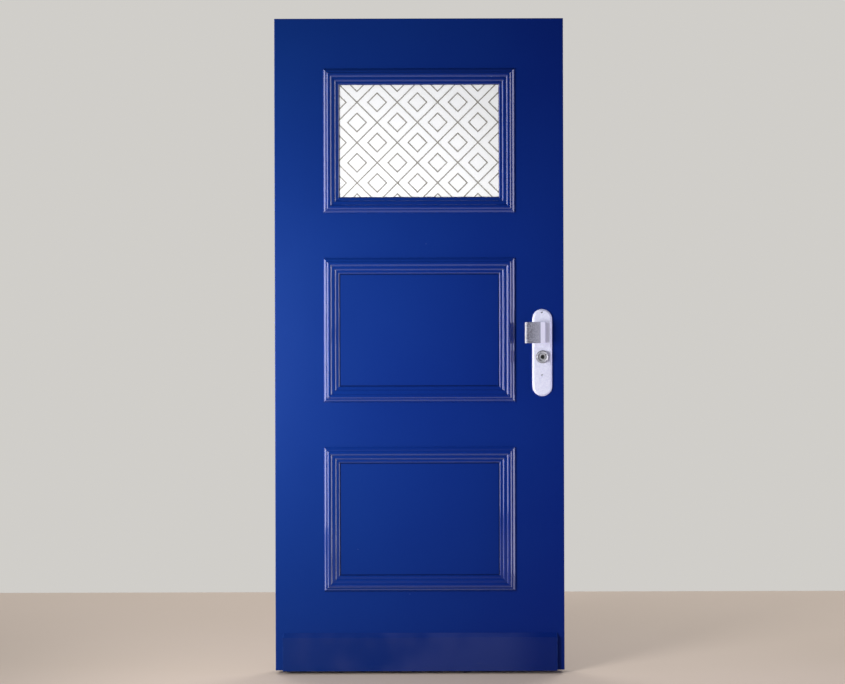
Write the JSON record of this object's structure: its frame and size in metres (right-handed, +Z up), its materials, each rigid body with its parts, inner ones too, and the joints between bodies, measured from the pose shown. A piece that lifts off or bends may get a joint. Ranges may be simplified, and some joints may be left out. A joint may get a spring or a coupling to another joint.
{
  "type": "security door",
  "caption": "Steel security door leaf with moulded panels, an opal lattice window, a fixed outside pull, key-thrown edge bolts and rods, a latch knob and butt hinges.",
  "frame": {"origin": "middle of the leaf's bottom edge, half way through its thickness", "axes": "+X to the lock edge, -Y to the outside face, +Z up"},
  "size_m": [0.9015, 0.1622, 2.0305],
  "materials": {
    "blue_paint": "gloss",
    "blue_aluminium": "gloss",
    "zinc_steel": "satin",
    "satin_steel": "satin",
    "nickel_brass": "satin",
    "bronze": "satin",
    "opal_glass": "satin",
    "lattice_strip": "matte",
    "black_rubber": "matte",
    "black_nylon": "matte",
    "core_board": "matte"
  },
  "bodies": {
    "frame_side": {"hinge_frame_plates": "blue_paint", "hinge_pins": "satin_steel", "hinge_washers": "bronze"},
    "leaf": {"outer_skin": "blue_paint", "inner_skin": "blue_paint", "hinge_stile": "zinc_steel", "lock_stile": "zinc_steel", "top_rail": "zinc_steel", "bottom_rail": "zinc_steel", "stiffener_ribs": "zinc_steel", "core_fill": "core_board", "window_lining": "zinc_steel", "glass_pane": "opal_glass", "glass_lattice": "lattice_strip", "glazing_gaskets": "black_rubber", "bead_top": "blue_aluminium", "bead_bottom": "blue_aluminium", "bead_left": "blue_aluminium", "bead_right": "blue_aluminium", "bead_screws": "zinc_steel", "window_moulding_top": "blue_aluminium", "window_moulding_bottom": "blue_aluminium", "window_moulding_left": "blue_aluminium", "window_moulding_right": "blue_aluminium", "middle_moulding_top": "blue_aluminium", "middle_moulding_bottom": "blue_aluminium", "middle_moulding_left": "blue_aluminium", "middle_moulding_right": "blue_aluminium", "lower_moulding_top": "blue_aluminium", "lower_moulding_bottom": "blue_aluminium", "lower_moulding_left": "blue_aluminium", "lower_moulding_right": "blue_aluminium", "skirt_plate": "blue_paint", "outer_plate": "satin_steel", "pull_handle": "satin_steel", "cylinder_guard": "satin_steel", "plate_screws": "zinc_steel", "cylinder_body": "nickel_brass", "lock_case": "zinc_steel", "lock_cover": "zinc_steel", "forend": "satin_steel", "forend_screws": "zinc_steel", "cylinder_screw": "zinc_steel", "rod_guides": "black_nylon", "latch_spring": "zinc_steel", "inner_plate": "satin_steel", "hinge_leaf_plates": "blue_paint", "hinge_screws": "zinc_steel"},
    "key_drive": {"outer_plug": "satin_steel", "thumb_turn": "satin_steel", "drive_pinion": "zinc_steel"},
    "edge_bolts": {"bolt_carriage": "zinc_steel", "side_bolts": "satin_steel"},
    "upper_rod": {"top_rod": "satin_steel"},
    "lower_rod": {"bottom_rod": "satin_steel"},
    "knob": {"inside_knob": "satin_steel", "spindle_bar": "zinc_steel", "hub": "zinc_steel"},
    "latch": {"latch_bolt": "satin_steel"}
  },
  "joints": [
    {"name": "door_swing", "type": "hinge", "parent": "frame_side", "child": "leaf", "pos_m": [-0.4405, 0.0325, 1.015], "axis": [0, 0, 1], "range_deg": [0, 110]},
    {"name": "bolt_throw", "type": "slide", "parent": "leaf", "child": "edge_bolts", "axis": [1, 0, 0], "range_m": [0, 0.0201]},
    {"name": "key_turn", "type": "hinge", "parent": "leaf", "child": "key_drive", "pos_m": [0.382, 0, 0.975], "axis": [0, 1, 0], "range_deg": [0, 360]},
    {"name": "top_rod_lift", "type": "slide", "parent": "leaf", "child": "upper_rod", "axis": [0, 0, 1], "range_m": [0, 0.0201]},
    {"name": "bottom_rod_drop", "type": "slide", "parent": "leaf", "child": "lower_rod", "axis": [0, 0, -1], "range_m": [0, 0.0201]},
    {"name": "knob_turn", "type": "hinge", "parent": "leaf", "child": "knob", "pos_m": [0.382, 0, 1.05], "axis": [0, 1, 0], "range_deg": [0, 40]},
    {"name": "latch_slide", "type": "slide", "parent": "leaf", "child": "latch", "axis": [1, 0, 0], "range_m": [0, 0.009], "deforming": ["latch_spring"]}
  ],
  "couplings": [
    {"joint": "key_turn", "follows": "bolt_throw", "rad_per_m": 312.5},
    {"joint": "top_rod_lift", "follows": "bolt_throw", "ratio": 1},
    {"joint": "bottom_rod_drop", "follows": "bolt_throw", "ratio": 1},
    {"joint": "latch_slide", "follows": "knob_turn", "m_per_rad": 0.01288}
  ]
}
